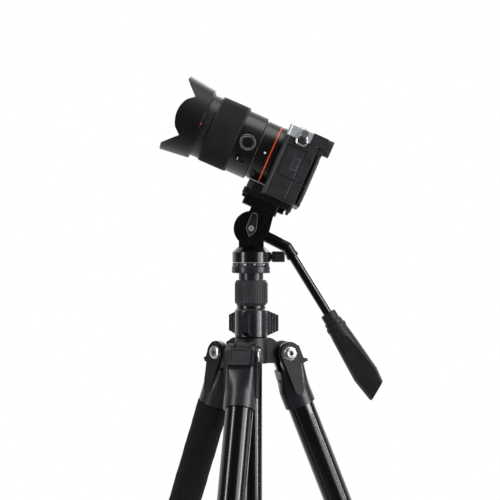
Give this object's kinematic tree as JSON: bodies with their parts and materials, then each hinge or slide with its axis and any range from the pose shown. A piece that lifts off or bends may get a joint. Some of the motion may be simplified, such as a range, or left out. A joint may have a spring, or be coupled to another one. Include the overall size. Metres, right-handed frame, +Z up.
{
  "type": "digital camera on a tripod",
  "caption": "Mirrorless camera with a petal-hooded lens, clamped by a quick-release plate on a pan-and-tilt head with a handle, on a folding three-legged tripod.",
  "frame": {"origin": "on the floor, on the column's axis", "axes": "+Z up along the column; the lens points to -X and up at rest; the camera's port side faces -Y"},
  "size_m": [0.3616, 0.3553, 0.699],
  "materials": {
    "black_casting": "fine satin black powder coat on cast aluminium",
    "black_tube": "satin black anodised aluminium tube",
    "black_plastic": "fine-grained black plastic",
    "camera_black": "black leatherette and fine-grained plastic",
    "silver_cover": "satin silver paint",
    "black_rubber": "ribbed matte rubber",
    "foam": "closed-cell foam",
    "grey_ring": "grey anodised aluminium",
    "steel": "bright plated steel",
    "lens_black": "satin black lens barrel",
    "glass": "coated optical glass",
    "sensor": "filter glass over a sensor chip",
    "screen": "glossy monitor face"
  },
  "bodies": {
    "canopy": {"canopy": "black_casting", "leg_hinge_bolts": "steel"},
    "front_leg": {"leg_casting_front": "black_casting", "upper_tube_front": "black_tube"},
    "front_middle_section": {"middle_tube_front": "black_tube"},
    "front_lower_section": {"lower_tube_front": "black_tube", "foot_front": "black_rubber"},
    "front_latch": {"leg_latch_front": "black_casting"},
    "front_upper_lock": {"upper_twist_lock_front": "black_rubber"},
    "front_lower_lock": {"lower_twist_lock_front": "black_rubber"},
    "right_leg": {"leg_casting_right": "black_casting", "upper_tube_right": "black_tube"},
    "right_middle_section": {"middle_tube_right": "black_tube"},
    "right_lower_section": {"lower_tube_right": "black_tube", "foot_right": "black_rubber"},
    "right_latch": {"leg_latch_right": "black_casting"},
    "right_upper_lock": {"upper_twist_lock_right": "black_rubber"},
    "right_lower_lock": {"lower_twist_lock_right": "black_rubber"},
    "left_leg": {"leg_casting_left": "black_casting", "upper_tube_left": "black_tube", "foam_grip_left": "foam"},
    "left_middle_section": {"middle_tube_left": "black_tube"},
    "left_lower_section": {"lower_tube_left": "black_tube", "foot_left": "black_rubber"},
    "left_latch": {"leg_latch_left": "black_casting"},
    "left_upper_lock": {"upper_twist_lock_left": "black_rubber"},
    "left_lower_lock": {"lower_twist_lock_left": "black_rubber"},
    "column_wing_lock": {"column_wing_lock": "black_plastic"},
    "column": {"column_tube": "black_tube", "head_base": "grey_ring"},
    "column_twist_collar": {"column_twist_collar": "black_rubber"},
    "pan_head": {"pan_base": "black_plastic"},
    "pan_lock_knob": {"pan_lock_knob": "black_plastic"},
    "tilt_head": {"tilt_body": "black_plastic", "tilt_axle": "steel", "qr_clamp": "black_plastic"},
    "tilt_lock_lever": {"tilt_lock_lever": "black_plastic"},
    "handle": {"handle_arm": "black_casting", "handle_bar": "black_tube", "handle_grip": "black_rubber"},
    "qr_clamp_knob": {"qr_clamp_knob": "black_plastic"},
    "camera": {"qr_plate": "black_plastic", "camera_body": "camera_black", "camera_top_cover": "silver_cover", "eyecup": "black_rubber", "image_sensor": "sensor", "strap_lugs": "steel", "lens_barrel": "lens_black", "front_element": "glass"},
    "camera_screw": {"camera_screw": "steel"},
    "camera_monitor": {"camera_monitor": "screen"},
    "mode_dial": {"mode_dial": "camera_black"},
    "control_dial": {"control_dial": "camera_black"},
    "shutter_button": {"shutter_button": "silver_cover"},
    "port_door": {"port_door": "camera_black"},
    "battery_door": {"battery_door": "camera_black"},
    "focus_ring": {"focus_ring": "black_rubber"},
    "lens_hood": {"lens_hood": "lens_black"},
    "hold_button": {"hold_button": "lens_black"},
    "lens_switch": {"lens_switch": "lens_black"}
  },
  "joints": [
    {"name": "front_leg_fold", "type": "hinge", "parent": "canopy", "child": "front_leg", "pos_m": [-0.00776, -0.03362, 0.43281], "axis": [0.9744, -0.225, 0], "range_deg": [0, 22]},
    {"name": "front_middle_slide", "type": "slide", "parent": "front_leg", "child": "front_middle_section", "axis": [-0.0843, -0.365, -0.9272], "range_m": [0, 0.27]},
    {"name": "front_lower_slide", "type": "slide", "parent": "front_middle_section", "child": "front_lower_section", "axis": [-0.0843, -0.365, -0.9272], "range_m": [0, 0.3]},
    {"name": "front_latch_slide", "type": "slide", "parent": "front_leg", "child": "front_latch", "axis": [-0.0843, -0.365, -0.9272], "range_m": [0, 0.0025], "stiffness_N_per_m": 400, "springref_m": -0.002},
    {"name": "front_upper_lock_twist", "type": "hinge", "parent": "front_leg", "child": "front_upper_lock", "pos_m": [-0.03817, -0.16533, 0.08621], "axis": [-0.0843, -0.365, -0.9272], "range_deg": [0, 120]},
    {"name": "front_lower_lock_twist", "type": "hinge", "parent": "front_middle_section", "child": "front_lower_lock", "pos_m": [-0.04112, -0.17811, 0.05376], "axis": [-0.0843, -0.365, -0.9272], "range_deg": [0, 120]},
    {"name": "right_leg_fold", "type": "hinge", "parent": "canopy", "child": "right_leg", "pos_m": [0.03299, 0.01009, 0.43281], "axis": [-0.2924, 0.9563, 0], "range_deg": [0, 22]},
    {"name": "right_middle_slide", "type": "slide", "parent": "right_leg", "child": "right_middle_section", "axis": [0.3582, 0.1095, -0.9272], "range_m": [0, 0.27]},
    {"name": "right_lower_slide", "type": "slide", "parent": "right_middle_section", "child": "right_lower_section", "axis": [0.3582, 0.1095, -0.9272], "range_m": [0, 0.3]},
    {"name": "right_latch_slide", "type": "slide", "parent": "right_leg", "child": "right_latch", "axis": [0.3582, 0.1095, -0.9272], "range_m": [0, 0.0025], "stiffness_N_per_m": 400, "springref_m": -0.002},
    {"name": "right_upper_lock_twist", "type": "hinge", "parent": "right_leg", "child": "right_upper_lock", "pos_m": [0.16227, 0.04961, 0.08621], "axis": [0.3582, 0.1095, -0.9272], "range_deg": [0, 120]},
    {"name": "right_lower_lock_twist", "type": "hinge", "parent": "right_middle_section", "child": "right_lower_lock", "pos_m": [0.1748, 0.05344, 0.05376], "axis": [0.3582, 0.1095, -0.9272], "range_deg": [0, 120]},
    {"name": "left_leg_fold", "type": "hinge", "parent": "canopy", "child": "left_leg", "pos_m": [-0.02523, 0.02353, 0.43281], "axis": [-0.682, -0.7314, 0], "range_deg": [0, 22]},
    {"name": "left_middle_slide", "type": "slide", "parent": "left_leg", "child": "left_middle_section", "axis": [-0.274, 0.2555, -0.9272], "range_m": [0, 0.27]},
    {"name": "left_lower_slide", "type": "slide", "parent": "left_middle_section", "child": "left_lower_section", "axis": [-0.274, 0.2555, -0.9272], "range_m": [0, 0.3]},
    {"name": "left_latch_slide", "type": "slide", "parent": "left_leg", "child": "left_latch", "axis": [-0.274, 0.2555, -0.9272], "range_m": [0, 0.0025], "stiffness_N_per_m": 400, "springref_m": -0.002},
    {"name": "left_upper_lock_twist", "type": "hinge", "parent": "left_leg", "child": "left_upper_lock", "pos_m": [-0.1241, 0.11572, 0.08621], "axis": [-0.274, 0.2555, -0.9272], "range_deg": [0, 120]},
    {"name": "left_lower_lock_twist", "type": "hinge", "parent": "left_middle_section", "child": "left_lower_lock", "pos_m": [-0.13369, 0.12466, 0.05376], "axis": [-0.274, 0.2555, -0.9272], "range_deg": [0, 120]},
    {"name": "column_rise", "type": "slide", "parent": "canopy", "child": "column", "axis": [0, 0, 1], "range_m": [0, 0.18]},
    {"name": "column_wing_lock_twist", "type": "hinge", "parent": "canopy", "child": "column_wing_lock", "pos_m": [0, 0, 0.44816], "axis": [0, 0, 1], "range_deg": [0, 60]},
    {"name": "column_collar_twist", "type": "hinge", "parent": "column", "child": "column_twist_collar", "pos_m": [0, 0, 0.48051], "axis": [0, 0, 1], "range_deg": [0, 180]},
    {"name": "pan", "type": "hinge", "parent": "column", "child": "pan_head", "pos_m": [0, 0, 0.52011], "axis": [0, 0, 1], "continuous": true},
    {"name": "pan_lock_knob_twist", "type": "hinge", "parent": "pan_head", "child": "pan_lock_knob", "pos_m": [0.0182, 0, 0.5255], "axis": [1, 0, 0], "range_deg": [0, 180]},
    {"name": "tilt", "type": "hinge", "parent": "pan_head", "child": "tilt_head", "pos_m": [0, 0, 0.55251], "axis": [0, 1, 0], "range_deg": [-80, 6]},
    {"name": "tilt_lever_swing", "type": "hinge", "parent": "tilt_head", "child": "tilt_lock_lever", "pos_m": [0, 0, 0.55251], "axis": [0, 1, 0], "range_deg": [-60, 0]},
    {"name": "handle_swing", "type": "hinge", "parent": "tilt_head", "child": "handle", "pos_m": [0, 0, 0.55251], "axis": [0, 1, 0], "range_deg": [-22, 4]},
    {"name": "qr_clamp_knob_twist", "type": "hinge", "parent": "tilt_head", "child": "qr_clamp_knob", "pos_m": [0.00814, 0, 0.57318], "axis": [0, 1, 0], "range_deg": [0, 180]},
    {"name": "qr_plate_slide", "type": "slide", "parent": "tilt_head", "child": "camera", "axis": [-0.9157, 0, 0.4019], "range_m": [0, 0.007]},
    {"name": "camera_screw_twist", "type": "hinge", "parent": "camera", "child": "camera_screw", "pos_m": [0.01407, 0, 0.58456], "axis": [0.4019, 0, 0.9157], "continuous": true},
    {"name": "monitor_swing", "type": "hinge", "parent": "camera", "child": "camera_monitor", "pos_m": [0.04241, -0.0408, 0.57212], "axis": [-0.4019, 0, -0.9157], "range_deg": [0, 175]},
    {"name": "mode_dial_turn", "type": "hinge", "parent": "camera", "child": "mode_dial", "pos_m": [0.05044, 0.027, 0.64504], "axis": [0.4019, 0, 0.9157], "continuous": true},
    {"name": "control_dial_turn", "type": "hinge", "parent": "camera", "child": "control_dial", "pos_m": [0.05823, 0.06, 0.64162], "axis": [0.4019, 0, 0.9157], "continuous": true},
    {"name": "shutter_press", "type": "slide", "parent": "camera", "child": "shutter_button", "axis": [-0.4019, 0, -0.9157], "range_m": [0, 0.0012], "stiffness_N_per_m": 400, "springref_m": -0.001},
    {"name": "port_door_swing", "type": "hinge", "parent": "camera", "child": "port_door", "pos_m": [0.02423, -0.0442, 0.60347], "axis": [-0.4019, 0, -0.9157], "range_deg": [0, 90]},
    {"name": "battery_door_swing", "type": "hinge", "parent": "camera", "child": "battery_door", "pos_m": [0.01256, 0.0717, 0.58609], "axis": [0.9157, 0, -0.4019], "range_deg": [0, 90]},
    {"name": "focus_turn", "type": "hinge", "parent": "camera", "child": "focus_ring", "pos_m": [0.02934, 0, 0.61935], "axis": [-0.9157, 0, 0.4019], "continuous": true},
    {"name": "hood_twist", "type": "hinge", "parent": "camera", "child": "lens_hood", "pos_m": [0.02934, 0, 0.61935], "axis": [-0.9157, 0, 0.4019], "range_deg": [0, 60]},
    {"name": "hold_button_press", "type": "slide", "parent": "camera", "child": "hold_button", "axis": [0, 1, 0], "range_m": [0, 0.0008], "stiffness_N_per_m": 400, "springref_m": -0.001},
    {"name": "lens_switch_slide", "type": "slide", "parent": "camera", "child": "lens_switch", "axis": [0.9157, 0, -0.4019], "range_m": [0, 0.005]}
  ]
}
